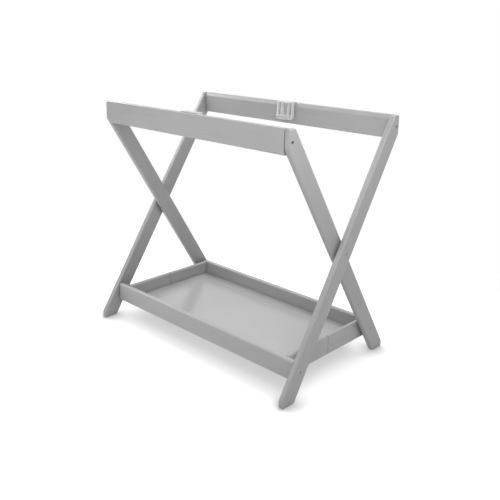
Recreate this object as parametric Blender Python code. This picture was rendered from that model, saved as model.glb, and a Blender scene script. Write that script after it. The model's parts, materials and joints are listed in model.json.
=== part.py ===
"""Folding wooden bassinet stand with a tray that folds between its crossed legs.

Metres, +Z up. X runs along the stand, -Y is its front, and the feet stand on z = 0.
Two frames cross as scissors: the inner frame carries the front top rail and the outer
frame the rear one. The two tray halves are pinned to the legs and hinged to each other.
"""
from math import asin, cos, pi, radians, sin, tan

import bmesh
import bpy
from mathutils import Matrix, Vector

# Whole stand
STAND_LENGTH = 0.754
RAIL_TOP_Z = 0.685
TOP_DEPTH = 0.426
FIT_GAP = 0.0003

# Legs
LEG_THICKNESS = 0.016
LEG_WIDTH = 0.047
LEG_ANGLE = radians(32.4)
LEG_SPACING = 0.006
UPRIGHT_TOP_LENGTH = 0.0513
TOE_CUT_HEIGHT = 0.020
LEG_EDGE_RADIUS = 0.0038
LEG_CORNER_RADII = (0.0055, 0.016, 0.010, 0.006, 0.008, 0.008)

# Top rails
RAIL_HEIGHT = 0.063
RAIL_THICKNESS = 0.022
PLANED_WIDTH = 0.0063
RAIL_CORNER_RADII = (0.004, 0.003, 0.004, 0.008, 0.004)

# Joints between legs and top rails
SCREW_DROP = 0.0315
SCREW_HEAD_RADIUS = 0.0040
SCREW_HEAD_LENGTH = 0.003
SCREW_SHANK_RADIUS = 0.0022
SCREW_LENGTH = 0.052
SCREW_SINK = 0.0045
SCREW_SOCKET_RADIUS = 0.0018
SCREW_SOCKET_DEPTH = 0.0018
SCREW_POINT_SHARE = 0.3
DOWEL_RADIUS = 0.004
DOWEL_LENGTH = 0.034
DOWEL_IN_LEG = 0.010
DOWEL_DROP = 0.050
DOWEL_CHAMFER = 0.0008

# Main pivots
PIVOT_HEAD_RADIUS = 0.0060
PIVOT_HEAD_LENGTH = 0.0025
PIVOT_HEAD_SINK = 0.0004
PIVOT_SHANK_RADIUS = 0.0037
PIVOT_SHANK_END = 0.0085
PIVOT_SOCKET_RADIUS = 0.0030
PIVOT_SOCKET_DEPTH = 0.0020
NUT_HEAD_RADIUS = 0.0070
NUT_HEAD_LENGTH = 0.0015
NUT_SLEEVE_RADIUS = 0.0052
NUT_BORE_RADIUS = 0.0040
NUT_WEB = 0.0030
PIVOT_WASHER_RADIUS = 0.0085

# Tray
TRAY_DEPTH = 0.356
TRAY_TOP_Z = 0.102
TRAY_RAIL_HEIGHT = 0.052
TRAY_SIDE_GAP = 0.002
LONG_RAIL_THICKNESS = 0.016
END_RAIL_THICKNESS = 0.014
END_RAIL_OUTER_X = 0.334
LONG_RAIL_TOP_RADIUS = 0.0045
END_RAIL_TOP_RADIUS = 0.0060
RAIL_FOOT_RADIUS = 0.0015
BUTT_EDGE_RADIUS = 0.0008
SPLIT_GAP = 0.0014
FLOOR_TOP_Z = 0.0615
FLOOR_THICKNESS = 0.0042
FLOOR_EDGE_GAP = 0.0005
FLOOR_CORNER_RADII = (0.002, 0.002, 0.002, 0.002)
CLEAT_WIDTH = 0.010
TENON_LENGTH = 0.0045
TENON_THICKNESS = 0.006
TENON_SHOULDER = 0.010

# Tray pins
PIN_Z = 0.0775
PIN_RADIUS = 0.0026
PIN_HEAD_RADIUS = 0.0038
PIN_HEAD_LENGTH = 0.0020
PIN_SINK = 0.0012
PIN_SLOT_WIDTH = 0.0010
PIN_SLOT_DEPTH = 0.0008
PIN_IN_RAIL = 0.020
PIN_WASHER_RADIUS = 0.0070

# Tray hinges, let into the undersides of the end rails
HINGE_INSET = 0.0045
HINGE_LEAF_LENGTH = 0.024
HINGE_LEAF_THICKNESS = 0.0012
HINGE_KNUCKLE_RADIUS = 0.0018
HINGE_BORE_RADIUS = 0.0012
HINGE_PIN_RADIUS = 0.0009
HINGE_CLEARANCE = 0.0024
HINGE_ROLL_START = 0.0045
HINGE_SCREW_ROWS = {"near": 0.0085, "far": 0.0180}
HINGE_SCREW_RADIUS = 0.0012
HINGE_SCREW_HEAD_RADIUS = 0.0024
HINGE_SCREW_LENGTH = 0.011
COUNTERSINK_SHARE = 0.8

# Cot clips
CLIP_HALF_WIDTH = 0.030
CLIP_SHELL = 0.0025
CLIP_TOP_RISE = 0.0024
CLIP_OVERHANG = 0.012
CLIP_BOTTOM_Z = 0.634
CLIP_BLOCK_TOP_Z = 0.648
CLIP_BLOCK_DEPTH = 0.015
CLIP_BLOCK_RADII = (0.008, 0.008, 0.0015, 0.0015)
CLIP_SHELL_RADII = (0, 0, 0, 0, 0.0012, 0.0015, 0.0008, 0, 0)
CLIP_RIB_DEPTH = 0.011
CLIP_RIB_FOOT_DEPTH = 0.0135
CLIP_OVERLAP = 0.0012
CLIP_BLOCK_HALF_WIDTH = 0.031
CLIP_EDGE_RADIUS = 0.0012
CLIP_RIB_THICKNESS = 0.0024
CLIP_RIB_PLACES = (-0.0286, -0.0130, 0.0130, 0.0286)
CLIP_FLANGE_THICKNESS = 0.0030
CLIP_SCREW_X = 0.0225
CLIP_SCREW_Z = 0.6405
CLIP_SCREW_RADIUS = 0.0016
CLIP_SCREW_HEAD_RADIUS = 0.0030
CLIP_SCREW_HEAD_LENGTH = 0.0022
CLIP_SCREW_SEAT = 0.0060
CLIP_SCREW_LENGTH = 0.020
PAN_HEAD_SHARE = 0.6

# Facets of round shapes
ROUND_SIDES = 16
SMALL_ROUND_SIDES = 12
SMALL_RADIUS = 0.0035
CORNER_STEPS = 5
EDGE_STEPS = 3
SMOOTH_ANGLE = radians(40)
BEVEL_ANGLE = radians(35)

# Places that follow from the sizes above
SLOPE = tan(LEG_ANGLE)
OUTER_LEG_FACE = STAND_LENGTH / 2
OUTER_LEG_INSIDE = OUTER_LEG_FACE - LEG_THICKNESS
INNER_LEG_FACE = OUTER_LEG_INSIDE - LEG_SPACING
INNER_LEG_INSIDE = INNER_LEG_FACE - LEG_THICKNESS
RAIL_FRONT_Y = TOP_DEPTH / 2
RAIL_INNER_Y = RAIL_FRONT_Y - RAIL_THICKNESS
BOLT_LINE_Y = RAIL_FRONT_Y - RAIL_THICKNESS / 2
LEG_RUN = LEG_WIDTH / cos(LEG_ANGLE)
KINK_Z = RAIL_TOP_Z - UPRIGHT_TOP_LENGTH
PIVOT_Z = KINK_Z - (RAIL_FRONT_Y - LEG_RUN / 2) / SLOPE
TRAY_BOTTOM_Z = TRAY_TOP_Z - TRAY_RAIL_HEIGHT
TRAY_FRONT_Y = TRAY_DEPTH / 2
TRAY_INSIDE_Y = TRAY_FRONT_Y - LONG_RAIL_THICKNESS
PIN_Y = TRAY_FRONT_Y - LONG_RAIL_THICKNESS / 2
END_RAIL_INNER_X = END_RAIL_OUTER_X - END_RAIL_THICKNESS
END_RAIL_MIDDLE_X = END_RAIL_OUTER_X - END_RAIL_THICKNESS / 2
FLOOR_BOTTOM_Z = FLOOR_TOP_Z - FLOOR_THICKNESS
LEAF_TOP_Z = TRAY_BOTTOM_Z + HINGE_LEAF_THICKNESS
HINGE_Z = LEAF_TOP_Z - HINGE_KNUCKLE_RADIUS
HINGE_WIDTH = END_RAIL_THICKNESS - HINGE_INSET
HINGE_MIDDLE_X = END_RAIL_INNER_X + HINGE_WIDTH / 2
CLIP_TOP_Z = RAIL_TOP_Z + CLIP_TOP_RISE

SIDES = {"left": -1, "right": 1}

# Colour, roughness and metallic value of each finish
GREY_PAINT = ((0.40, 0.40, 0.40, 1.0), 0.45, 0.0)
PANEL_PAINT = ((0.52, 0.52, 0.52, 1.0), 0.40, 0.0)
BARE_BEECH = ((0.62, 0.45, 0.28, 1.0), 0.70, 0.0)
PLATED_STEEL = ((0.42, 0.42, 0.43, 1.0), 0.35, 1.0)
GREY_NYLON = ((0.22, 0.22, 0.22, 1.0), 0.50, 0.0)
CLEAR_PLASTIC = ((0.78, 0.79, 0.80, 1.0), 0.25, 0.0)


def clear_scene():
    """Take away whatever the scene holds, so that only the stand is in it."""
    for thing in list(bpy.data.objects):
        bpy.data.objects.remove(thing, do_unlink=True)


def rounded(corners, radii):
    """Outline whose corners are rounded, each to its own radius."""
    outline = []
    for index, radius in enumerate(radii):
        corner = Vector(corners[index])
        if radius == 0:
            outline.append(tuple(corner))
            continue
        before = (Vector(corners[index - 1]) - corner).normalized()
        after = (Vector(corners[(index + 1) % len(corners)]) - corner).normalized()
        half_angle = before.angle(after) / 2
        centre = corner + (before + after).normalized() * radius / sin(half_angle)
        first = corner + before * radius / tan(half_angle) - centre
        last = corner + after * radius / tan(half_angle) - centre
        turn = first.angle_signed(last)
        for step in range(CORNER_STEPS + 1):
            arm = Matrix.Rotation(-turn * step / CORNER_STEPS, 2) @ first
            outline.append(tuple(centre + arm))
    return outline


def box_outline(low, high):
    """Corners of a rectangle."""
    return [(low[0], low[1]), (high[0], low[1]), (high[0], high[1]), (low[0], high[1])]


def add_prism(mesh, outline, axis, start, end):
    """Push an outline along X, Y or Z to make a closed solid."""
    across = "XYZ".index(axis)
    corners = []
    for point in outline:
        place = list(point)
        place.insert(across, start)
        corners.append(mesh.verts.new(place))
    travel = Vector((0, 0, 0))
    travel[across] = end - start
    cap = mesh.faces.new(corners)
    pushed = bmesh.ops.extrude_face_region(mesh, geom=[cap], use_keep_orig=True)
    moved = [item for item in pushed["geom"] if isinstance(item, bmesh.types.BMVert)]
    bmesh.ops.translate(mesh, verts=moved, vec=travel)


def add_turned(mesh, profile, origin, direction, hollow=False):
    """Turn a profile of (distance, radius) points about an axis; a hollow one closes on itself."""
    axis = Vector(direction)
    across = axis.orthogonal().normalized()
    upward = axis.cross(across)
    widest = max(radius for distance, radius in profile)
    sides = ROUND_SIDES if widest > SMALL_RADIUS else SMALL_ROUND_SIDES
    rings = []
    for distance, radius in profile:
        centre = Vector(origin) + axis * distance
        ring = []
        for side in range(sides):
            angle = 2 * pi * side / sides
            ring.append(mesh.verts.new(centre + across * radius * cos(angle) + upward * radius * sin(angle)))
        rings.append(ring)
    pairs = list(zip(rings, rings[1:]))
    if hollow:
        pairs.append((rings[-1], rings[0]))
    else:
        mesh.faces.new(list(reversed(rings[0])))
        mesh.faces.new(rings[-1])
    for ring, following in pairs:
        for side in range(sides):
            after = (side + 1) % sides
            mesh.faces.new((ring[side], ring[after], following[after], following[side]))


def finish_material(name, finish):
    """Material with the colour, roughness and metallic value of a finish."""
    colour, roughness, metallic = finish
    material = bpy.data.materials.new(name + "_finish")
    material.use_nodes = True
    shader = material.node_tree.nodes["Principled BSDF"]
    shader.inputs["Base Color"].default_value = colour
    shader.inputs["Roughness"].default_value = roughness
    shader.inputs["Metallic"].default_value = metallic
    return material


def shade(mesh_data):
    """Smooth shading over round faces, with crisp edges between flat ones."""
    for polygon in mesh_data.polygons:
        polygon.use_smooth = True
    mesh_data.set_sharp_from_angle(angle=SMOOTH_ANGLE)


def make_piece(name, mesh, finish, body):
    """Object for one sub-part, with its origin on the axis of the body that carries it."""
    bmesh.ops.recalc_face_normals(mesh, faces=mesh.faces)
    bmesh.ops.translate(mesh, verts=mesh.verts, vec=-body.location)
    mesh_data = bpy.data.meshes.new(name)
    mesh.to_mesh(mesh_data)
    mesh.free()
    piece = bpy.data.objects.new(name, mesh_data)
    bpy.context.scene.collection.objects.link(piece)
    piece.parent = body
    mesh_data.materials.append(finish_material(name, finish))
    shade(mesh_data)
    return piece


def apply_modifiers(piece):
    """Turn the modified shape into the piece's own mesh."""
    bpy.context.view_layer.update()
    evaluated = piece.evaluated_get(bpy.context.evaluated_depsgraph_get())
    shaped = bpy.data.meshes.new_from_object(evaluated)
    piece.modifiers.clear()
    piece.data = shaped
    shade(shaped)


def round_edges(piece, radius, steps=EDGE_STEPS):
    """Round the sharp edges of a piece."""
    bevel = piece.modifiers.new("rounded_edges", "BEVEL")
    bevel.width = radius
    bevel.segments = steps
    bevel.limit_method = "ANGLE"
    bevel.angle_limit = BEVEL_ANGLE
    apply_modifiers(piece)


def combine(piece, tool_mesh, operation):
    """Cut a tool shape out of a piece, or weld it on."""
    bmesh.ops.recalc_face_normals(tool_mesh, faces=tool_mesh.faces)
    bmesh.ops.translate(tool_mesh, verts=tool_mesh.verts, vec=-piece.parent.location)
    tool_data = bpy.data.meshes.new("tool")
    tool_mesh.to_mesh(tool_data)
    tool_mesh.free()
    tool = bpy.data.objects.new("tool", tool_data)
    bpy.context.scene.collection.objects.link(tool)
    tool.parent = piece.parent
    tool.hide_render = True
    tool.display_type = "WIRE"
    boolean = piece.modifiers.new("shaped_by_tool", "BOOLEAN")
    boolean.operation = operation
    boolean.solver = "EXACT"
    boolean.object = tool
    apply_modifiers(piece)
    bpy.data.objects.remove(tool, do_unlink=True)


def cut(piece, tool_mesh):
    """Cut a tool shape out of a piece."""
    combine(piece, tool_mesh, "DIFFERENCE")


def weld(piece, tool_mesh):
    """Join a shape to a piece as one solid."""
    combine(piece, tool_mesh, "UNION")


def make_axis(name, location, parent=None):
    """Empty on a joint's axis, which carries the pieces of one body."""
    axis = bpy.data.objects.new(name, None)
    bpy.context.scene.collection.objects.link(axis)
    axis.location = location
    if parent is not None:
        axis.parent = parent
        axis.matrix_parent_inverse = Matrix.Translation(-parent.location)
    return axis


def leg_outline(facing):
    """Side view of a leg; facing is -1 where its top is at the front, 1 where it is at the rear."""
    foot_front = -RAIL_FRONT_Y + KINK_Z * SLOPE
    foot_back = foot_front + LEG_RUN
    toe = foot_back - TOE_CUT_HEIGHT * SLOPE
    top_back = foot_back - RAIL_TOP_Z * SLOPE
    corners = [
        (-RAIL_FRONT_Y, RAIL_TOP_Z),
        (-RAIL_FRONT_Y, KINK_Z),
        (foot_front, 0.0),
        (toe, 0.0),
        (toe, TOE_CUT_HEIGHT),
        (top_back, RAIL_TOP_Z),
    ]
    return [(-facing * y, z) for y, z in rounded(corners, LEG_CORNER_RADII)]


def add_screw_hole(mesh, side, face_x, y, z):
    """Sunk hole for a rail screw, from the leg's outer face."""
    profile = [
        (-LEG_SPACING / 2, SCREW_HEAD_RADIUS + FIT_GAP),
        (SCREW_SINK + SCREW_HEAD_LENGTH + FIT_GAP, SCREW_HEAD_RADIUS + FIT_GAP),
        (SCREW_SINK + SCREW_HEAD_LENGTH + FIT_GAP, SCREW_SHANK_RADIUS + FIT_GAP),
        (LEG_THICKNESS + LEG_SPACING / 2, SCREW_SHANK_RADIUS + FIT_GAP),
    ]
    add_turned(mesh, profile, (side * face_x, y, z), (-side, 0, 0))


def add_bore(mesh, side, from_x, to_x, y, z, radius):
    """Straight hole along the stand, between two distances from its middle."""
    add_turned(mesh, [(0, radius), (from_x - to_x, radius)], (side * from_x, y, z), (-side, 0, 0))


def add_dowel_hole(mesh, side, facing, from_x, to_x):
    """Blind hole for the dowel of one rail end."""
    add_bore(mesh, side, from_x, to_x, facing * BOLT_LINE_Y, RAIL_TOP_Z - DOWEL_DROP, DOWEL_RADIUS + FIT_GAP)


def make_leg(name, side, facing, face_x, body):
    """Leg board with rounded edges and the holes of its screw, dowel, pivot and tray pin."""
    mesh = bmesh.new()
    inside_x = face_x - LEG_THICKNESS
    add_prism(mesh, leg_outline(facing), "X", side * inside_x, side * face_x)
    leg = make_piece(name, mesh, GREY_PAINT, body)
    round_edges(leg, LEG_EDGE_RADIUS)
    holes = bmesh.new()
    add_screw_hole(holes, side, face_x, facing * BOLT_LINE_Y, RAIL_TOP_Z - SCREW_DROP)
    deepest = inside_x + DOWEL_IN_LEG + FIT_GAP
    add_dowel_hole(holes, side, facing, deepest, inside_x - FIT_GAP)
    add_pin_hole(holes, side, face_x, -facing * PIN_Y)
    if facing > 0:
        add_pivot_bolt_hole(holes, side)
    else:
        add_pivot_nut_hole(holes, side)
    cut(leg, holes)


def add_pin_hole(mesh, side, face_x, y):
    """Stepped hole for a tray pin and its head."""
    seat = PIN_SINK + PIN_HEAD_LENGTH + FIT_GAP
    profile = [
        (-LEG_SPACING / 2, PIN_HEAD_RADIUS + FIT_GAP),
        (seat, PIN_HEAD_RADIUS + FIT_GAP),
        (seat, PIN_RADIUS + FIT_GAP),
        (LEG_THICKNESS + LEG_SPACING / 2, PIN_RADIUS + FIT_GAP),
    ]
    add_turned(mesh, profile, (side * face_x, y, PIN_Z), (-side, 0, 0))


def add_pivot_bolt_hole(mesh, side):
    """Stepped hole in the outer leg for the pivot bolt."""
    seat = PIVOT_HEAD_SINK + PIVOT_HEAD_LENGTH + FIT_GAP
    profile = [
        (-LEG_SPACING / 2, PIVOT_HEAD_RADIUS + FIT_GAP),
        (seat, PIVOT_HEAD_RADIUS + FIT_GAP),
        (seat, PIVOT_SHANK_RADIUS + FIT_GAP),
        (LEG_THICKNESS + LEG_SPACING / 2, PIVOT_SHANK_RADIUS + FIT_GAP),
    ]
    add_turned(mesh, profile, (side * OUTER_LEG_FACE, 0, PIVOT_Z), (-side, 0, 0))


def add_pivot_nut_hole(mesh, side):
    """Stepped hole in the inner leg for the sleeve nut, opened from the leg's inside."""
    profile = [
        (-LEG_SPACING / 2, NUT_HEAD_RADIUS + FIT_GAP),
        (NUT_HEAD_LENGTH + 2 * FIT_GAP, NUT_HEAD_RADIUS + FIT_GAP),
        (NUT_HEAD_LENGTH + 2 * FIT_GAP, NUT_SLEEVE_RADIUS + FIT_GAP),
        (LEG_THICKNESS + LEG_SPACING / 2, NUT_SLEEVE_RADIUS + FIT_GAP),
    ]
    add_turned(mesh, profile, (side * INNER_LEG_INSIDE, 0, PIVOT_Z), (side, 0, 0))


def top_rail_outline(facing):
    """Section of a top rail, whose inner upper edge is planed to the slope of the legs."""
    top_back = -RAIL_INNER_Y - PLANED_WIDTH
    slope_foot = RAIL_TOP_Z - PLANED_WIDTH / SLOPE
    bottom = RAIL_TOP_Z - RAIL_HEIGHT
    corners = [
        (-RAIL_FRONT_Y, bottom),
        (-RAIL_FRONT_Y, RAIL_TOP_Z),
        (top_back, RAIL_TOP_Z),
        (-RAIL_INNER_Y, slope_foot),
        (-RAIL_INNER_Y, bottom),
    ]
    return [(-facing * y, z) for y, z in rounded(corners, RAIL_CORNER_RADII)]


def make_top_rail(name, facing, leg_inside, body):
    """Board on edge between two legs, with the holes of its screws, dowels and clip."""
    end_x = leg_inside - FIT_GAP
    mesh = bmesh.new()
    add_prism(mesh, top_rail_outline(facing), "X", -end_x, end_x)
    rail = make_piece(name, mesh, GREY_PAINT, body)
    holes = bmesh.new()
    outside = end_x + FIT_GAP
    for side in SIDES.values():
        screw_end = leg_inside + LEG_THICKNESS - SCREW_SINK - SCREW_LENGTH - FIT_GAP
        add_bore(holes, side, outside, screw_end, facing * BOLT_LINE_Y, RAIL_TOP_Z - SCREW_DROP,
                 SCREW_SHANK_RADIUS + FIT_GAP)
        dowel_end = leg_inside + DOWEL_IN_LEG - DOWEL_LENGTH - FIT_GAP
        add_dowel_hole(holes, side, facing, outside, dowel_end)
        depth = CLIP_SCREW_LENGTH - CLIP_SCREW_SEAT + 2 * FIT_GAP
        add_turned(holes, [(-FIT_GAP, CLIP_SCREW_RADIUS + FIT_GAP), (depth, CLIP_SCREW_RADIUS + FIT_GAP)],
                   (side * CLIP_SCREW_X, facing * RAIL_INNER_Y, CLIP_SCREW_Z), (0, facing, 0))
    cut(rail, holes)


def make_rail_screw(name, side, facing, face_x, body):
    """Screw that holds a leg to a top rail, with a hexagon socket in its head."""
    head_x = face_x - SCREW_SINK
    y = facing * BOLT_LINE_Y
    z = RAIL_TOP_Z - SCREW_DROP
    profile = [
        (0, SCREW_HEAD_RADIUS),
        (SCREW_HEAD_LENGTH, SCREW_HEAD_RADIUS),
        (SCREW_HEAD_LENGTH, SCREW_SHANK_RADIUS),
        (SCREW_LENGTH - SCREW_SHANK_RADIUS, SCREW_SHANK_RADIUS),
        (SCREW_LENGTH, SCREW_SHANK_RADIUS * SCREW_POINT_SHARE),
    ]
    mesh = bmesh.new()
    add_turned(mesh, profile, (side * head_x, y, z), (-side, 0, 0))
    screw = make_piece(name, mesh, PLATED_STEEL, body)
    socket = bmesh.new()
    add_hexagon(socket, side, head_x, y, z, SCREW_SOCKET_RADIUS, SCREW_SOCKET_DEPTH)
    cut(screw, socket)


def add_hexagon(mesh, side, face_x, y, z, radius, depth):
    """Hexagon socket sunk into a fastener's head."""
    outline = [(y + radius * cos(pi * corner / 3), z + radius * sin(pi * corner / 3)) for corner in range(6)]
    add_prism(mesh, outline, "X", side * (face_x + FIT_GAP), side * (face_x - depth))


def make_rail_dowel(name, side, facing, leg_inside, body):
    """Wooden dowel with chamfered ends, which keeps a leg and a top rail in line."""
    profile = [
        (0, DOWEL_RADIUS - DOWEL_CHAMFER),
        (DOWEL_CHAMFER, DOWEL_RADIUS),
        (DOWEL_LENGTH - DOWEL_CHAMFER, DOWEL_RADIUS),
        (DOWEL_LENGTH, DOWEL_RADIUS - DOWEL_CHAMFER),
    ]
    start = (side * (leg_inside + DOWEL_IN_LEG), facing * BOLT_LINE_Y, RAIL_TOP_Z - DOWEL_DROP)
    mesh = bmesh.new()
    add_turned(mesh, profile, start, (-side, 0, 0))
    make_piece(name, mesh, BARE_BEECH, body)


def make_pivot(side_name, side, body):
    """Bolt and sleeve nut on which the crossed legs of one side turn."""
    head_x = OUTER_LEG_FACE - PIVOT_HEAD_SINK
    length = head_x - INNER_LEG_INSIDE - PIVOT_SHANK_END
    profile = [
        (0, PIVOT_HEAD_RADIUS - PIVOT_HEAD_SINK),
        (PIVOT_HEAD_SINK, PIVOT_HEAD_RADIUS),
        (PIVOT_HEAD_LENGTH, PIVOT_HEAD_RADIUS),
        (PIVOT_HEAD_LENGTH, PIVOT_SHANK_RADIUS),
        (length, PIVOT_SHANK_RADIUS),
    ]
    mesh = bmesh.new()
    add_turned(mesh, profile, (side * head_x, 0, PIVOT_Z), (-side, 0, 0))
    bolt = make_piece("pivot_bolt_" + side_name, mesh, PLATED_STEEL, body)
    socket = bmesh.new()
    add_hexagon(socket, side, head_x, 0, PIVOT_Z, PIVOT_SOCKET_RADIUS, PIVOT_SOCKET_DEPTH)
    cut(bolt, socket)

    sleeve = LEG_THICKNESS - FIT_GAP
    nut_profile = [
        (0, NUT_HEAD_RADIUS),
        (NUT_HEAD_LENGTH, NUT_HEAD_RADIUS),
        (NUT_HEAD_LENGTH, NUT_SLEEVE_RADIUS),
        (sleeve, NUT_SLEEVE_RADIUS),
        (sleeve, NUT_BORE_RADIUS),
        (NUT_WEB, NUT_BORE_RADIUS),
    ]
    mesh = bmesh.new()
    add_turned(mesh, nut_profile, (side * (INNER_LEG_INSIDE + FIT_GAP / 2), 0, PIVOT_Z), (side, 0, 0))
    make_piece("pivot_nut_" + side_name, mesh, PLATED_STEEL, body)


def make_washer(name, side, near_x, gap, y, z, radius, bore, body):
    """Washer that fills the gap between a leg and its neighbour."""
    thickness = gap - 2 * FIT_GAP
    profile = [(0, bore), (0, radius), (thickness, radius), (thickness, bore)]
    mesh = bmesh.new()
    add_turned(mesh, profile, (side * (near_x + FIT_GAP), y, z), (side, 0, 0), hollow=True)
    make_piece(name, mesh, GREY_NYLON, body)


def make_tray_pin(name, side, face_x, y, end_x, body):
    """Headed pin on which a tray half turns in its leg, with a slot across the head."""
    head_x = face_x - PIN_SINK
    profile = [
        (0, PIN_HEAD_RADIUS),
        (PIN_HEAD_LENGTH, PIN_HEAD_RADIUS),
        (PIN_HEAD_LENGTH, PIN_RADIUS),
        (head_x - end_x, PIN_RADIUS),
    ]
    mesh = bmesh.new()
    add_turned(mesh, profile, (side * head_x, y, PIN_Z), (-side, 0, 0))
    pin = make_piece(name, mesh, PLATED_STEEL, body)
    reach = PIN_HEAD_RADIUS + FIT_GAP
    outline = box_outline((y - reach, PIN_Z - PIN_SLOT_WIDTH / 2), (y + reach, PIN_Z + PIN_SLOT_WIDTH / 2))
    slot = bmesh.new()
    add_prism(slot, outline, "X", side * (head_x + FIT_GAP), side * (head_x - PIN_SLOT_DEPTH))
    cut(pin, slot)


def make_long_rail(name, facing, leg_inside, body):
    """Long rail of the tray, between the legs that carry it."""
    end_x = leg_inside - TRAY_SIDE_GAP
    outer = facing * TRAY_FRONT_Y
    inner = facing * TRAY_INSIDE_Y
    corners = [(outer, TRAY_BOTTOM_Z), (outer, TRAY_TOP_Z), (inner, TRAY_TOP_Z), (inner, TRAY_BOTTOM_Z)]
    radii = (RAIL_FOOT_RADIUS, LONG_RAIL_TOP_RADIUS, LONG_RAIL_TOP_RADIUS, RAIL_FOOT_RADIUS)
    mesh = bmesh.new()
    add_prism(mesh, rounded(corners, radii), "X", -end_x, end_x)
    rail = make_piece(name, mesh, GREY_PAINT, body)
    round_edges(rail, BUTT_EDGE_RADIUS, 2)
    holes = bmesh.new()
    for side in SIDES.values():
        add_bore(holes, side, end_x + FIT_GAP, end_x - PIN_IN_RAIL - FIT_GAP, facing * PIN_Y, PIN_Z,
                 PIN_RADIUS + FIT_GAP)
        add_prism(holes, tenon_outline(side, FIT_GAP), "Y", inner - facing * FIT_GAP,
                  inner + facing * (TENON_LENGTH + FIT_GAP))
    cut(rail, holes)


def tenon_outline(side, clearance):
    """Section of the tenon between an end rail and a long rail."""
    half_width = TENON_THICKNESS / 2 + clearance
    middle = side * END_RAIL_MIDDLE_X
    low = TRAY_BOTTOM_Z + TENON_SHOULDER - clearance
    high = TRAY_TOP_Z - TENON_SHOULDER + clearance
    return box_outline((middle - half_width, low), (middle + half_width, high))


def make_end_rail(name, side, facing, body):
    """Half of a tray end, from its long rail to the split in the middle."""
    corners = [
        (side * END_RAIL_OUTER_X, TRAY_BOTTOM_Z),
        (side * END_RAIL_OUTER_X, TRAY_TOP_Z),
        (side * END_RAIL_INNER_X, TRAY_TOP_Z),
        (side * END_RAIL_INNER_X, TRAY_BOTTOM_Z),
    ]
    radii = (RAIL_FOOT_RADIUS, END_RAIL_TOP_RADIUS, END_RAIL_TOP_RADIUS, RAIL_FOOT_RADIUS)
    far = facing * (TRAY_INSIDE_Y - FIT_GAP)
    near = facing * SPLIT_GAP / 2
    mesh = bmesh.new()
    add_prism(mesh, rounded(corners, radii), "Y", near, far)
    rail = make_piece(name, mesh, GREY_PAINT, body)
    round_edges(rail, BUTT_EDGE_RADIUS, 2)
    tenon = bmesh.new()
    add_prism(tenon, tenon_outline(side, 0), "Y", far - facing * TENON_LENGTH, far + facing * TENON_LENGTH)
    weld(rail, tenon)
    recess = bmesh.new()
    low_x, high_x = hinge_span(side)
    recess_end = HINGE_LEAF_LENGTH + FIT_GAP
    outline = box_outline((low_x - FIT_GAP, -facing * SPLIT_GAP), (high_x + FIT_GAP, facing * recess_end))
    add_prism(recess, outline, "Z", HINGE_Z, LEAF_TOP_Z + FIT_GAP)
    cut(rail, recess)
    holes = bmesh.new()
    for row in HINGE_SCREW_ROWS.values():
        add_turned(holes, [(0, HINGE_SCREW_RADIUS + FIT_GAP),
                           (HINGE_SCREW_LENGTH + FIT_GAP, HINGE_SCREW_RADIUS + FIT_GAP)],
                   (side * HINGE_MIDDLE_X, facing * row, TRAY_BOTTOM_Z), (0, 0, 1))
    cut(rail, holes)


def make_cleats(half_name, facing, body):
    """Three strips inside a tray half, on which the floor panel lies."""
    low = TRAY_BOTTOM_Z
    high = FLOOR_BOTTOM_Z - FIT_GAP
    outer_x = END_RAIL_INNER_X - FIT_GAP
    far = facing * (TRAY_INSIDE_Y - FIT_GAP)
    inside = far - facing * CLEAT_WIDTH
    long_cleat = bmesh.new()
    add_prism(long_cleat, box_outline((-outer_x, inside), (outer_x, far)), "Z", low, high)
    make_piece("tray_" + half_name + "_long_cleat", long_cleat, GREY_PAINT, body)
    for side_name, side in SIDES.items():
        outline = box_outline((side * (outer_x - CLEAT_WIDTH), facing * HINGE_CLEARANCE),
                              (side * outer_x, inside - facing * FIT_GAP))
        end_cleat = bmesh.new()
        add_prism(end_cleat, outline, "Z", low, high)
        make_piece("tray_" + half_name + "_end_cleat_" + side_name, end_cleat, GREY_PAINT, body)


def hinge_span(side):
    """Low and high X of a tray hinge, which ends flush with the inner face of its end rail."""
    return sorted((side * END_RAIL_INNER_X, side * (END_RAIL_OUTER_X - HINGE_INSET)))


def make_hinge_leaf(name, side, facing, body):
    """Hinge leaf: the front one holds the pin in its two knuckles, the rear one turns on it."""
    low_x, high_x = hinge_span(side)
    third = (high_x - low_x) / 3
    plate = box_outline((low_x, facing * HINGE_CLEARANCE), (high_x, facing * HINGE_LEAF_LENGTH))
    mesh = bmesh.new()
    add_prism(mesh, plate, "Z", TRAY_BOTTOM_Z, LEAF_TOP_Z)
    leaf = make_piece(name, mesh, PLATED_STEEL, body)
    spans = [(low_x, low_x + third), (high_x - third, high_x)]
    if facing > 0:
        spans = [(low_x + third, high_x - third)]
    for start, end in spans:
        knuckle = bmesh.new()
        add_prism(knuckle, knuckle_outline(facing), "X", start + FIT_GAP, end - FIT_GAP)
        weld(leaf, knuckle)
    holes = bmesh.new()
    countersink = [
        (-FIT_GAP, HINGE_SCREW_HEAD_RADIUS + 2 * FIT_GAP),
        (HINGE_LEAF_THICKNESS * COUNTERSINK_SHARE, HINGE_SCREW_RADIUS + FIT_GAP),
        (HINGE_LEAF_THICKNESS + FIT_GAP, HINGE_SCREW_RADIUS + FIT_GAP),
    ]
    for row in HINGE_SCREW_ROWS.values():
        add_turned(holes, countersink, (side * HINGE_MIDDLE_X, facing * row, TRAY_BOTTOM_Z), (0, 0, 1))
    if facing > 0:
        add_hinge_rod(holes, low_x, HINGE_BORE_RADIUS)
    cut(leaf, holes)
    if facing < 0:
        pin = bmesh.new()
        add_hinge_rod(pin, low_x, HINGE_PIN_RADIUS)
        weld(leaf, pin)


def add_hinge_rod(mesh, low_x, radius):
    """Straight rod on the hinge's axis, as its pin or its bore."""
    add_turned(mesh, [(0, radius), (HINGE_WIDTH, radius)], (low_x, 0, HINGE_Z), (1, 0, 0))


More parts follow.
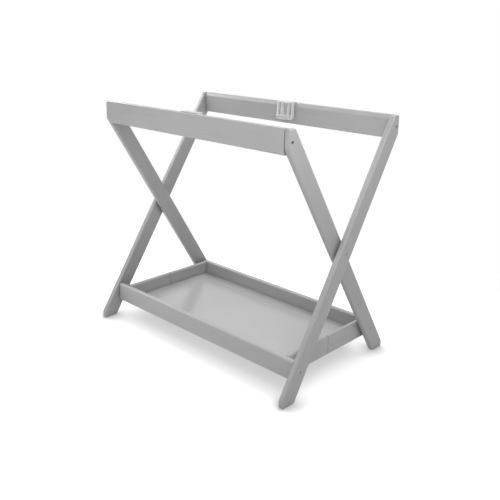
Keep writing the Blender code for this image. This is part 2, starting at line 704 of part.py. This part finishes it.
def knuckle_outline(facing):
    """Side view of a rolled leaf end: the plate runs over the barrel and curls back under itself."""
    start = pi / 2
    end = 2 * pi + asin((TRAY_BOTTOM_Z - HINGE_Z) / HINGE_KNUCKLE_RADIUS)
    outline = [(facing * HINGE_ROLL_START, LEAF_TOP_Z)]
    for step in range(SMALL_ROUND_SIDES + 1):
        angle = start + (end - start) * step / SMALL_ROUND_SIDES
        reach = facing * HINGE_KNUCKLE_RADIUS * cos(angle)
        outline.append((reach, HINGE_Z + HINGE_KNUCKLE_RADIUS * sin(angle)))
    outline.append((facing * HINGE_ROLL_START, TRAY_BOTTOM_Z))
    return outline


def make_hinge_screw(name, side, facing, row, body):
    """Countersunk screw that holds a hinge leaf under an end rail."""
    profile = [
        (0, HINGE_SCREW_HEAD_RADIUS),
        (HINGE_LEAF_THICKNESS * COUNTERSINK_SHARE, HINGE_SCREW_RADIUS),
        (HINGE_SCREW_LENGTH - HINGE_SCREW_RADIUS, HINGE_SCREW_RADIUS),
        (HINGE_SCREW_LENGTH, HINGE_SCREW_RADIUS * SCREW_POINT_SHARE),
    ]
    mesh = bmesh.new()
    add_turned(mesh, profile, (side * HINGE_MIDDLE_X, facing * row, TRAY_BOTTOM_Z), (0, 0, 1))
    make_piece(name, mesh, PLATED_STEEL, body)


def make_floor_panel(body):
    """One-piece floor of the tray, which lies on the cleats of both halves."""
    half_length = END_RAIL_INNER_X - FLOOR_EDGE_GAP
    half_depth = TRAY_INSIDE_Y - FLOOR_EDGE_GAP
    mesh = bmesh.new()
    outline = rounded(box_outline((-half_length, -half_depth), (half_length, half_depth)), FLOOR_CORNER_RADII)
    add_prism(mesh, outline, "Z", FLOOR_BOTTOM_Z, FLOOR_TOP_Z)
    make_piece("tray_floor_panel", mesh, PANEL_PAINT, body)


def clip_shell_outline(facing):
    """Side view of a clip's wall, which hooks over the planed edge and the top of its rail."""
    slope_foot = RAIL_TOP_Z - PLANED_WIDTH / SLOPE
    rail_top = RAIL_TOP_Z + FIT_GAP
    flange_bottom = CLIP_TOP_Z - CLIP_FLANGE_THICKNESS
    wall_foot = CLIP_BLOCK_TOP_Z - CLIP_OVERLAP
    corners = [
        (FIT_GAP, wall_foot),
        (FIT_GAP, slope_foot),
        (FIT_GAP - PLANED_WIDTH, rail_top),
        (-CLIP_OVERHANG, rail_top),
        (-CLIP_OVERHANG, CLIP_TOP_Z),
        (CLIP_RIB_DEPTH, CLIP_TOP_Z),
        (CLIP_RIB_DEPTH, flange_bottom),
        (CLIP_SHELL, flange_bottom),
        (CLIP_SHELL, wall_foot),
    ]
    return [(facing * (RAIL_INNER_Y - reach), z) for reach, z in rounded(corners, CLIP_SHELL_RADII)]


def make_clip(name, facing, body):
    """Moulded clip on the inner side of a top rail: screwed block, hooked wall and four ribs."""
    block = box_outline((-CLIP_BLOCK_HALF_WIDTH, CLIP_BOTTOM_Z), (CLIP_BLOCK_HALF_WIDTH, CLIP_BLOCK_TOP_Z))
    mesh = bmesh.new()
    add_prism(mesh, rounded(block, CLIP_BLOCK_RADII), "Y",
              facing * (RAIL_INNER_Y - FIT_GAP), facing * (RAIL_INNER_Y - CLIP_BLOCK_DEPTH))
    clip = make_piece(name, mesh, CLEAR_PLASTIC, body)
    round_edges(clip, CLIP_EDGE_RADIUS, 2)
    wall = bmesh.new()
    add_prism(wall, clip_shell_outline(facing), "X", -CLIP_HALF_WIDTH, CLIP_HALF_WIDTH)
    weld(clip, wall)
    for place in CLIP_RIB_PLACES:
        rib = bmesh.new()
        foot = CLIP_BLOCK_TOP_Z - CLIP_OVERLAP
        head = CLIP_TOP_Z - CLIP_OVERLAP
        side_view = [
            (CLIP_OVERLAP, foot),
            (CLIP_RIB_FOOT_DEPTH, foot),
            (CLIP_RIB_DEPTH - CLIP_OVERLAP, head),
            (CLIP_OVERLAP, head),
        ]
        outline = [(facing * (RAIL_INNER_Y - reach), z) for reach, z in side_view]
        add_prism(rib, outline, "X", place - CLIP_RIB_THICKNESS / 2, place + CLIP_RIB_THICKNESS / 2)
        weld(clip, rib)
    holes = bmesh.new()
    seat = CLIP_BLOCK_DEPTH - CLIP_SCREW_SEAT
    profile = [
        (-FIT_GAP, CLIP_SCREW_HEAD_RADIUS + FIT_GAP),
        (seat + FIT_GAP, CLIP_SCREW_HEAD_RADIUS + FIT_GAP),
        (seat + FIT_GAP, CLIP_SCREW_RADIUS + FIT_GAP),
        (CLIP_BLOCK_DEPTH + FIT_GAP, CLIP_SCREW_RADIUS + FIT_GAP),
    ]
    for side in SIDES.values():
        start = (side * CLIP_SCREW_X, facing * (RAIL_INNER_Y - CLIP_BLOCK_DEPTH), CLIP_SCREW_Z)
        add_turned(holes, profile, start, (0, facing, 0))
    cut(clip, holes)


def make_clip_screw(name, side, facing, body):
    """Pan-head screw that holds a clip to its rail."""
    head_front = CLIP_SCREW_SEAT + CLIP_SCREW_HEAD_LENGTH
    profile = [
        (0, CLIP_SCREW_HEAD_RADIUS * PAN_HEAD_SHARE),
        (CLIP_SCREW_HEAD_LENGTH * (1 - PAN_HEAD_SHARE), CLIP_SCREW_HEAD_RADIUS),
        (CLIP_SCREW_HEAD_LENGTH, CLIP_SCREW_HEAD_RADIUS),
        (CLIP_SCREW_HEAD_LENGTH, CLIP_SCREW_RADIUS),
        (CLIP_SCREW_LENGTH - CLIP_SCREW_RADIUS, CLIP_SCREW_RADIUS),
        (CLIP_SCREW_LENGTH, CLIP_SCREW_RADIUS * SCREW_POINT_SHARE),
    ]
    start = (side * CLIP_SCREW_X, facing * (RAIL_INNER_Y - head_front), CLIP_SCREW_Z)
    mesh = bmesh.new()
    add_turned(mesh, profile, start, (0, facing, 0))
    make_piece(name, mesh, PLATED_STEEL, body)


def make_top_frame(rail_name, leg_name, facing, face_x, body):
    """Two legs and the top rail between them, with the rail's fasteners and clip."""
    leg_inside = face_x - LEG_THICKNESS
    make_top_rail(rail_name + "_top_rail", facing, leg_inside, body)
    make_clip(rail_name + "_cot_clip", facing, body)
    for side_name, side in SIDES.items():
        make_leg(leg_name + "_leg_" + side_name, side, facing, face_x, body)
        make_rail_screw(rail_name + "_rail_screw_" + side_name, side, facing, face_x, body)
        make_rail_dowel(rail_name + "_rail_dowel_" + side_name, side, facing, leg_inside, body)
        make_clip_screw(rail_name + "_clip_screw_" + side_name, side, facing, body)


def make_pivots(body):
    """Bolt, sleeve nut and washer at each crossing of the legs."""
    bolt_bore = PIVOT_SHANK_RADIUS + 2 * FIT_GAP
    for side_name, side in SIDES.items():
        make_pivot(side_name, side, body)
        make_washer("pivot_washer_" + side_name, side, INNER_LEG_FACE, LEG_SPACING, 0, PIVOT_Z,
                    PIVOT_WASHER_RADIUS, bolt_bore, body)


def make_tray_half(half_name, facing, leg_inside, body):
    """Long rail, two half end rails, cleats and hinge leaves of one tray half."""
    make_long_rail("tray_" + half_name + "_rail", facing, leg_inside, body)
    make_cleats(half_name, facing, body)
    for side_name, side in SIDES.items():
        make_end_rail("tray_" + half_name + "_end_rail_" + side_name, side, facing, body)
        make_hinge_leaf("hinge_" + half_name + "_leaf_" + side_name, side, facing, body)
        for place, row in HINGE_SCREW_ROWS.items():
            screw_name = "hinge_" + half_name + "_" + place + "_screw_" + side_name
            make_hinge_screw(screw_name, side, facing, row, body)


def make_tray_pivots(half_name, y, leg_face, pin_end, body):
    """Pin and washer at each end of a tray half."""
    washer_x = leg_face - LEG_THICKNESS - TRAY_SIDE_GAP
    for side_name, side in SIDES.items():
        make_tray_pin("tray_" + half_name + "_pin_" + side_name, side, leg_face, y, pin_end, body)
        make_washer("tray_" + half_name + "_washer_" + side_name, side, washer_x, TRAY_SIDE_GAP, y, PIN_Z,
                    PIN_WASHER_RADIUS, PIN_RADIUS + FIT_GAP, body)


def make_stand():
    """Build the whole stand, open and standing on its feet."""
    clear_scene()
    outer_frame = make_axis("outer_frame_base", Vector((0, 0, 0)))
    inner_frame = make_axis("main_pivot_axis", Vector((0, 0, PIVOT_Z)), outer_frame)
    tray_front = make_axis("tray_front_pin_axis", Vector((0, -PIN_Y, PIN_Z)), outer_frame)
    tray_rear = make_axis("tray_hinge_axis", Vector((0, 0, HINGE_Z)), tray_front)
    make_top_frame("rear", "outer", 1, OUTER_LEG_FACE, outer_frame)
    make_top_frame("front", "inner", -1, INNER_LEG_FACE, inner_frame)
    make_pivots(inner_frame)
    make_tray_half("front", -1, OUTER_LEG_INSIDE, tray_front)
    make_tray_half("rear", 1, INNER_LEG_INSIDE, tray_rear)
    make_floor_panel(tray_rear)
    front_pin_end = OUTER_LEG_INSIDE - TRAY_SIDE_GAP - PIN_IN_RAIL
    make_tray_pivots("front", -PIN_Y, OUTER_LEG_FACE, front_pin_end, tray_front)
    rear_pin_end = INNER_LEG_INSIDE - TRAY_SIDE_GAP + FIT_GAP
    make_tray_pivots("rear", PIN_Y, INNER_LEG_FACE, rear_pin_end, inner_frame)


make_stand()
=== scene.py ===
"""Looks of the folding bassinet stand: paint, plastic, steel, studio floor, light and camera."""
import json
from math import cos, radians, sin

import bpy
from mathutils import Matrix, Vector

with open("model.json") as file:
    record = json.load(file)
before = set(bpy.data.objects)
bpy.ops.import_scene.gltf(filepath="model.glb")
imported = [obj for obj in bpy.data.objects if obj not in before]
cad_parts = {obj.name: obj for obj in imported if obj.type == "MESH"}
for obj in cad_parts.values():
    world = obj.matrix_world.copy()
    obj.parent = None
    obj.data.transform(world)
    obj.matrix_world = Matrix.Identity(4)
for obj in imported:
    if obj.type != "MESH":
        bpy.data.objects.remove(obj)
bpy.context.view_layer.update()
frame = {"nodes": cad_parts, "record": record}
nodes = frame["nodes"]

# Camera of the photograph: place, angles, and focal length and sensor width in mm
CAMERA_PLACE = Vector((1.3326, -1.3745, 0.9168))
CAMERA_YAW = radians(43.3849)
CAMERA_PITCH = radians(-13.0073)
CAMERA_ROLL = radians(1.1238)
CAMERA_LENS = 49.070
CAMERA_SENSOR = 36.0
CAMERA_SHIFT_Y = -0.14
CAMERA_NEAR_LIMIT = 0.05

# Slope of the legs from the vertical
LEG_ANGLE = radians(32.4)

# Colours
PAINT = (0.395, 0.395, 0.395)
LEG_PAINT = (0.385, 0.385, 0.385)
PANEL = (0.440, 0.440, 0.440)
STEEL = (0.40, 0.40, 0.40)
BEECH = (0.60, 0.42, 0.25)
NYLON = (0.20, 0.20, 0.20)
PLASTIC = (0.66, 0.66, 0.66)

# Stretch of the wood grain: 0.05 along the grain, and 1 across it
ALONG_X = (0.05, 1, 1)
ALONG_Y = (1, 0.05, 1)
ALONG_Z = (1, 1, 0.05)

# Range that holds most values of a noise
MOST = (0.3, 0.7)

# Wear and painted light on the paint: width of the edges that are worn and carry a painted highlight, how
# much lighter and smoother they are, the reach and depth of painted shade in inner corners and between parts,
# and the heights between which the legs get darker towards the floor
WORN_AND_HIGHLIT_EDGE = 0.0016
WORN_AND_HIGHLIT_LIGHTER = 0.20
WORN_SMOOTHER = -0.03
PAINTED_SHADE_REACH = 0.014
PAINTED_CORNER_SHADE = 0.70
LEG_DARKENING_HEIGHTS = (0.02, 0.32)
LEG_DARKENING_LEAST = 0.90

# Cosines between a face's normal and its rounded normal, on flat faces and at sharp edges
EDGE_COSINES = (0.995, 0.90)
EDGE_SAMPLES = 4
OPENNESS_SAMPLES = 8

# Clip plastic: its clear and milky shares, how deep light spreads in it, and the reach and strength of the
# painted light on the faces that its ribs close in
PLASTIC_IOR = 1.49
PLASTIC_CLEAR = 0.15
PLASTIC_MILKY = 0.85
PLASTIC_DEPTH = 0.010
PLASTIC_PAINTED_LIGHT_REACH = 0.012
PLASTIC_PAINTED_LIGHT_CLOSED = 0.2
PLASTIC_PAINTED_LIGHT = 1.45

# Suns: heading and height in degrees, and W/m2. All have one width in degrees.
SUNS = {
    "key_light": (45, 40, 0.405),
    "back_light": (180, 65, 1.448),
    "fill_light": (225, 40, 0.154),
}
SUN_SPREAD = 35

# Soft boxes: place and W. All have one size and shine at one point.
SOFT_BOXES = {
    "box_above_right": ((0.7, 0.0, 1.2), 2.80),
    "box_right": ((0.909, -0.525, 0.95), 3.60),
    "box_front_low": ((0.0, -1.05, 0.5), 1.30),
    "box_front_left_low": ((-0.525, -0.909, 0.5), 1.46),
    "box_left": ((-1.05, 0.0, 0.95), 4.82),
    "box_front_left_high": ((-0.909, -0.525, 1.4), 3.92),
}
BOX_SIZE = 0.6
BOX_AIM = (0.0, 0.0, 0.4)

# Floor: half its width, its place just under the feet, the share of light that it returns to the stand,
# the share that shows, the glow that brings it up to white, and the distances over which it fades to white
FLOOR_REACH = 12.0
FLOOR_Z = -0.0003
FLOOR_BOUNCE = 0.85
FLOOR_SEEN = 0.76
FLOOR_GLOW = 0.55
FLOOR_FADE = (0.55, 1.1)
FLOOR_ROUGHNESS = 0.9

# Shade of the floor under the stand, and close round its feet
UNDER_REACH = 0.4
UNDER_SHADE = 0.25
CONTACT_REACH = 0.05
CONTACT_CLOSED = 0.535


def background_rays(tree):
    """1 for rays that show the white background: from the camera, in reflections and through plastic."""
    path = tree.nodes.new("ShaderNodeLightPath")
    seen = path.outputs["Is Camera Ray"]
    for label in ("Is Glossy Ray", "Is Transmission Ray"):
        either = tree.nodes.new("ShaderNodeMath")
        either.operation = "MAXIMUM"
        tree.links.new(seen, either.inputs[0])
        tree.links.new(path.outputs[label], either.inputs[1])
        seen = either.outputs[0]
    return seen


class Shader:
    """Short hand for building one node material."""

    def __init__(self, name):
        self.material = bpy.data.materials.new(name)
        self.material.use_nodes = True
        self.tree = self.material.node_tree
        self.surface = self.tree.nodes["Principled BSDF"]

    def node(self, kind, **settings):
        made = self.tree.nodes.new(kind)
        for key, value in settings.items():
            setattr(made, key, value)
        return made

    def join(self, source, target):
        self.tree.links.new(source, target)

    def value(self, socket, value):
        """Set a socket to a number or a colour, or link another socket into it."""
        if isinstance(value, bpy.types.NodeSocket):
            self.join(value, socket)
        else:
            socket.default_value = value

    def math(self, operation, first, *others):
        """Combine numbers or sockets one after the other."""
        for other in others:
            made = self.node("ShaderNodeMath", operation=operation)
            self.value(made.inputs[0], first)
            self.value(made.inputs[1], other)
            first = made.outputs[0]
        return first

    def add(self, *values):
        return self.math("ADD", *values)

    def multiply(self, *values):
        return self.math("MULTIPLY", *values)

    def spread(self, value, source, target):
        """Carry a value from one range to another, held inside it."""
        made = self.node("ShaderNodeMapRange")
        self.value(made.inputs["Value"], value)
        for label, number in zip(("From Min", "From Max", "To Min", "To Max"), (*source, *target)):
            made.inputs[label].default_value = number
        return made.outputs["Result"]

    def place(self, turn=0.0, stretch=(1, 1, 1)):
        """The piece's own coordinates, turned about X and then stretched."""
        source = self.node("ShaderNodeTexCoord").outputs["Object"]
        turned = self.node("ShaderNodeMapping", vector_type="TEXTURE")
        turned.inputs["Rotation"].default_value = (turn, 0, 0)
        self.join(source, turned.inputs["Vector"])
        made = self.node("ShaderNodeMapping")
        made.inputs["Scale"].default_value = stretch
        self.join(turned.outputs["Vector"], made.inputs["Vector"])
        return made.outputs["Vector"]

    def noise(self, place, scale, detail=3.0, roughness=0.5, distortion=0.0):
        made = self.node("ShaderNodeTexNoise")
        self.join(place, made.inputs["Vector"])
        made.inputs["Scale"].default_value = scale
        made.inputs["Detail"].default_value = detail
        made.inputs["Roughness"].default_value = roughness
        made.inputs["Distortion"].default_value = distortion
        return made.outputs["Fac"]

    def tint(self, colour, factor):
        """A colour made lighter or darker by a factor."""
        made = self.node("ShaderNodeVectorMath", operation="SCALE")
        made.inputs[0].default_value = colour
        self.value(made.inputs["Scale"], factor)
        return made.outputs["Vector"]

    def edges(self, radius):
        """About 0 on flat faces and up to 1 along sharp edges."""
        bevel = self.node("ShaderNodeBevel", samples=EDGE_SAMPLES)
        bevel.inputs["Radius"].default_value = radius
        flat = self.node("ShaderNodeNewGeometry").outputs["Normal"]
        dot = self.node("ShaderNodeVectorMath", operation="DOT_PRODUCT")
        self.join(bevel.outputs["Normal"], dot.inputs[0])
        self.join(flat, dot.inputs[1])
        return self.spread(dot.outputs["Value"], EDGE_COSINES, (0.0, 1.0))

    def openness(self, reach, closed, shade):
        """1 on open faces, down or up to the shade where surfaces within the reach close them in."""
        made = self.node("ShaderNodeAmbientOcclusion", samples=OPENNESS_SAMPLES)
        made.inputs["Distance"].default_value = reach
        return self.spread(made.outputs["AO"], (closed, 1.0), (shade, 1.0))

    def bump(self, height, strength, distance):
        made = self.node("ShaderNodeBump")
        made.inputs["Strength"].default_value = strength
        made.inputs["Distance"].default_value = distance
        self.join(height, made.inputs["Height"])
        self.join(made.outputs["Normal"], self.surface.inputs["Normal"])

    def set(self, **values):
        """Set or link the shader's own sockets, named with underscores for spaces."""
        for label, value in values.items():
            self.value(self.surface.inputs[label.replace("_", " ")], value)


def painted_wood(name, colour, turn, stretch, darker_towards_floor=False):
    """Satin paint over wood whose grain runs along the piece and shows through faintly. Its edges are lighter
    from wear and a painted highlight, and its inner corners get painted shade.
    """
    shader = Shader(name)
    along = shader.place(turn, stretch)
    plain = shader.place()
    grain = shader.noise(along, scale=60.0, detail=6.0, roughness=0.62, distortion=0.6)
    pores = shader.noise(along, scale=210.0, roughness=0.55)
    cloud = shader.noise(plain, scale=9.0)
    orange_peel = shader.noise(plain, scale=900.0, detail=2.0)
    patches = shader.spread(shader.noise(plain, scale=55.0, detail=4.0), (0.38, 0.58), (0.45, 1.0))
    # Edges lighter from wear and from a painted highlight
    worn_and_highlit = shader.multiply(shader.edges(WORN_AND_HIGHLIT_EDGE), patches)
    factor = shader.add(
        shader.spread(grain, MOST, (-0.035, 0.035)),
        1.0,
        shader.spread(pores, (0.35, 0.65), (-0.018, 0.018)),
        shader.spread(cloud, MOST, (-0.025, 0.025)),
        shader.multiply(worn_and_highlit, WORN_AND_HIGHLIT_LIGHTER),
    )
    # Painted shade in inner corners and between parts
    factor = shader.multiply(factor, shader.openness(PAINTED_SHADE_REACH, closed=0.0, shade=PAINTED_CORNER_SHADE))
    # The legs get darker towards the floor
    if darker_towards_floor:
        height = shader.node("ShaderNodeSeparateXYZ")
        shader.join(plain, height.inputs[0])
        tone_variation = shader.spread(height.outputs["Z"], LEG_DARKENING_HEIGHTS, (LEG_DARKENING_LEAST, 1.0))
        factor = shader.multiply(factor, tone_variation)
    rough = shader.add(shader.spread(cloud, MOST, (0.32, 0.37)), shader.multiply(worn_and_highlit, WORN_SMOOTHER))
    shader.set(Base_Color=shader.tint(colour, factor), Roughness=rough)
    relief = shader.add(
        shader.multiply(grain, 0.7),
        shader.multiply(pores, 0.45),
        shader.multiply(orange_peel, 0.12),
    )
    shader.bump(relief, strength=0.35, distance=0.0004)
    return shader.material


def bare_beech(name):
    """Unpainted wood with fine flecks along the dowel."""
    shader = Shader(name)
    along = shader.place(stretch=ALONG_X)
    grain = shader.noise(along, scale=420.0, detail=5.0, roughness=0.6, distortion=0.4)
    fleck = shader.noise(along, scale=1400.0, detail=2.0)
    factor = shader.add(
        shader.spread(grain, MOST, (0.86, 1.10)),
        shader.spread(fleck, (0.55, 0.7), (0.0, -0.14)),
    )
    shader.set(Base_Color=shader.tint(BEECH, factor), Roughness=shader.spread(grain, MOST, (0.6, 0.75)))
    shader.bump(grain, strength=0.3, distance=0.0002)
    return shader.material


def plated_steel(name):
    """Dull zinc-plated steel with fine turning marks and darker handling marks."""
    shader = Shader(name)
    marks = shader.noise(shader.place(stretch=(1, 0.1, 1)), scale=2600.0)
    stains = shader.noise(shader.place(), scale=260.0, detail=4.0, roughness=0.6)
    factor = shader.add(
        shader.spread(stains, (0.35, 0.7), (0.80, 1.08)),
        shader.spread(marks, MOST, (-0.05, 0.05)),
    )
    shader.set(
        Base_Color=shader.tint(STEEL, factor),
        Roughness=shader.spread(stains, MOST, (0.30, 0.46)),
        Metallic=1.0,
    )
    shader.bump(marks, strength=0.2, distance=0.00004)
    return shader.material


def painted_steel(name):
    """Fasteners painted with the frame, with a few scratches where a tool has turned them."""
    shader = Shader(name)
    cloud = shader.noise(shader.place(), scale=180.0)
    scratches = shader.noise(shader.place(stretch=(1, 1, 0.15)), scale=1500.0, detail=4.0, roughness=0.6)
    factor = shader.add(
        shader.spread(cloud, MOST, (0.95, 1.02)),
        shader.spread(scratches, (0.58, 0.72), (0.0, 0.08)),
    )
    shader.set(Base_Color=shader.tint(PAINT, factor), Roughness=shader.spread(cloud, MOST, (0.30, 0.42)))
    shader.bump(scratches, strength=0.1, distance=0.00003)
    return shader.material


def grey_nylon(name):
    """Moulded nylon with a fine matt texture."""
    shader = Shader(name)
    plain = shader.place()
    grit = shader.noise(plain, scale=1800.0, detail=2.0, roughness=0.6)
    cloud = shader.noise(plain, scale=120.0)
    shader.set(
        Base_Color=shader.tint(NYLON, shader.spread(cloud, MOST, (0.92, 1.08))),
        Roughness=shader.spread(grit, MOST, (0.48, 0.62)),
    )
    shader.bump(grit, strength=0.25, distance=0.0001)
    return shader.material


def clear_plastic(name):
    """Milky translucent plastic with a moulded skin and faint flow marks, and painted light on the faces that
    its ribs close in.
    """
    shader = Shader(name)
    drawn_out = shader.place(stretch=(0.25, 1, 1))
    flow = shader.noise(drawn_out, scale=70.0, detail=4.0, roughness=0.6, distortion=1.0)
    grit = shader.noise(shader.place(), scale=2200.0, detail=2.0)
    # Painted light on the faces that the ribs close in
    painted_inner_light = shader.openness(PLASTIC_PAINTED_LIGHT_REACH, closed=PLASTIC_PAINTED_LIGHT_CLOSED, shade=PLASTIC_PAINTED_LIGHT)
    factor = shader.multiply(shader.spread(flow, MOST, (0.96, 1.03)), painted_inner_light)
    shader.set(
        Base_Color=shader.tint(PLASTIC, factor),
        Roughness=shader.spread(flow, MOST, (0.26, 0.36)),
        IOR=PLASTIC_IOR,
        Transmission_Weight=PLASTIC_CLEAR,
        Subsurface_Weight=PLASTIC_MILKY,
        Subsurface_Radius=(1.0, 1.0, 1.0),
        Subsurface_Scale=PLASTIC_DEPTH,
    )
    shader.bump(grit, strength=0.15, distance=0.00005)
    return shader.material


def panel_board(name):
    """Smooth painted board, with a faint rolled texture and light scuffs."""
    shader = Shader(name)
    plain = shader.place()
    rolled = shader.noise(plain, scale=520.0, roughness=0.6)
    cloud = shader.noise(plain, scale=5.0)
    drawn_out = shader.place(stretch=(0.12, 1, 1))
    tone_variation = shader.noise(drawn_out, scale=38.0, detail=5.0, roughness=0.65, distortion=0.8)
    factor = shader.add(
        shader.spread(cloud, MOST, (0.985, 1.015)),
        shader.spread(tone_variation, (0.60, 0.75), (0.0, 0.03)),
    )
    shader.set(
        Base_Color=shader.tint(PANEL, factor),
        Roughness=shader.spread(tone_variation, (0.3, 0.75), (0.16, 0.30)),
    )
    shader.bump(rolled, strength=0.2, distance=0.0002)
    return shader.material


def paint_for(name):
    """Paint for one wooden piece. Its grain runs up a leg, along Y on an end piece and along X elsewhere."""
    if "leg" in name:
        leans = 1 if name.startswith("inner") else -1
        return painted_wood("paint_" + name, LEG_PAINT, leans * LEG_ANGLE, ALONG_Z, darker_towards_floor=True)
    return painted_wood("paint_" + name, PAINT, 0.0, ALONG_Y if "end" in name else ALONG_X)


def dress_nodes():
    """Give every piece the material of its slot in the record, and paint the bolts and nuts of the pivots."""
    slots = {part["node"]: part["material_slot"] for part in frame["record"]["subparts"]}
    painted_fasteners = painted_steel("painted_steel")
    shared = {
        "panel_paint": panel_board("panel_board"),
        "bare_beech": bare_beech("bare_beech"),
        "plated_steel": plated_steel("plated_steel"),
        "grey_nylon": grey_nylon("grey_nylon"),
        "clear_plastic": clear_plastic("clear_plastic"),
    }
    for name, piece in nodes.items():
        if name.startswith(("pivot_bolt", "pivot_nut")):
            material = painted_fasteners
        else:
            material = shared.get(slots[name]) or paint_for(name)
        piece.data.materials.clear()
        piece.data.materials.append(material)


def floor_material():
    """White floor with the stand's soft shadow near it, which fades to plain white further out."""
    shader = Shader("studio_floor")
    distance = shader.node("ShaderNodeVectorMath", operation="LENGTH")
    shader.join(shader.place(), distance.inputs[0])
    far = shader.spread(distance.outputs["Value"], FLOOR_FADE, (0.0, 1.0))
    seen = background_rays(shader.tree)
    shade = shader.multiply(
        shader.openness(UNDER_REACH, closed=0.0, shade=UNDER_SHADE),
        shader.openness(CONTACT_REACH, closed=CONTACT_CLOSED, shade=0.0),
    )
    near_colour = shader.multiply(shader.spread(far, (0.0, 1.0), (FLOOR_SEEN, 0.0)), shade)
    glow = shader.spread(far, (0.0, 1.0), (FLOOR_GLOW, 1.0))
    albedo = shader.add(
        shader.multiply(seen, near_colour),
        shader.multiply(shader.math("SUBTRACT", 1.0, seen), FLOOR_BOUNCE),
    )
    shader.set(
        Base_Color=shader.tint((1, 1, 1), albedo),
        Emission_Color=(1, 1, 1, 1),
        Emission_Strength=shader.multiply(seen, glow),
        Roughness=FLOOR_ROUGHNESS,
        Specular_IOR_Level=0.0,
    )
    return shader.material


def make_floor():
    """Wide flat studio floor."""
    data = bpy.data.meshes.new("studio_floor")
    corners = [(x * FLOOR_REACH, y * FLOOR_REACH, 0) for x, y in ((-1, -1), (1, -1), (1, 1), (-1, 1))]
    data.from_pydata(corners, [], [(0, 1, 2, 3)])
    data.materials.append(floor_material())
    floor = bpy.data.objects.new("studio_floor", data)
    floor.location.z = FLOOR_Z
    bpy.context.scene.collection.objects.link(floor)


def make_world():
    """White background for the camera, reflections and clear plastic, which gives no other light."""
    world = bpy.data.worlds.new("studio")
    bpy.context.scene.world = world
    world.use_nodes = True
    tree = world.node_tree
    background = tree.nodes["Background"]
    background.inputs["Color"].default_value = (1, 1, 1, 1)
    tree.links.new(background_rays(tree), background.inputs["Strength"])


def place_lamp(lamp, direction):
    """Turn a lamp so that it shines in a direction, and put it in the scene."""
    lamp.rotation_mode = "QUATERNION"
    lamp.rotation_quaternion = direction.to_track_quat("-Z", "Y")
    bpy.context.scene.collection.objects.link(lamp)


def make_suns():
    """Soft light from far away. A heading of 0 shines from the front, and 90 from the right."""
    for name, (heading, height, strength) in SUNS.items():
        data = bpy.data.lights.new(name, "SUN")
        data.energy = strength
        data.angle = radians(SUN_SPREAD)
        heading, height = radians(heading), radians(height)
        source = Vector((sin(heading) * cos(height), -cos(heading) * cos(height), sin(height)))
        place_lamp(bpy.data.objects.new(name, data), -source)


def make_soft_boxes():
    """Round soft boxes that shine at the middle of the stand."""
    for name, (place, power) in SOFT_BOXES.items():
        data = bpy.data.lights.new(name, "AREA")
        data.energy = power
        data.shape = "DISK"
        data.size = BOX_SIZE
        lamp = bpy.data.objects.new(name, data)
        lamp.location = place
        lamp.visible_camera = False
        place_lamp(lamp, Vector(BOX_AIM) - Vector(place))


def make_camera():
    """Camera at the photograph's place and angle."""
    data = bpy.data.cameras.new("photo_camera")
    data.sensor_width = CAMERA_SENSOR
    data.lens = CAMERA_LENS
    data.shift_y = CAMERA_SHIFT_Y
    data.clip_start = CAMERA_NEAR_LIMIT
    camera = bpy.data.objects.new("photo_camera", data)
    bpy.context.scene.collection.objects.link(camera)
    bpy.context.scene.camera = camera
    horizontal = cos(CAMERA_PITCH)
    forward = Vector((-sin(CAMERA_YAW) * horizontal, cos(CAMERA_YAW) * horizontal, sin(CAMERA_PITCH)))
    level_right = Vector((cos(CAMERA_YAW), sin(CAMERA_YAW), 0))
    level_up = level_right.cross(forward)
    right = level_right * cos(CAMERA_ROLL) + level_up * sin(CAMERA_ROLL)
    up = level_up * cos(CAMERA_ROLL) - level_right * sin(CAMERA_ROLL)
    turn = Matrix((right, up, -forward)).transposed().to_4x4()
    camera.matrix_world = Matrix.Translation(CAMERA_PLACE) @ turn


dress_nodes()
make_floor()
make_world()
make_suns()
make_soft_boxes()
make_camera()
bpy.context.scene.view_settings.view_transform = "Standard"
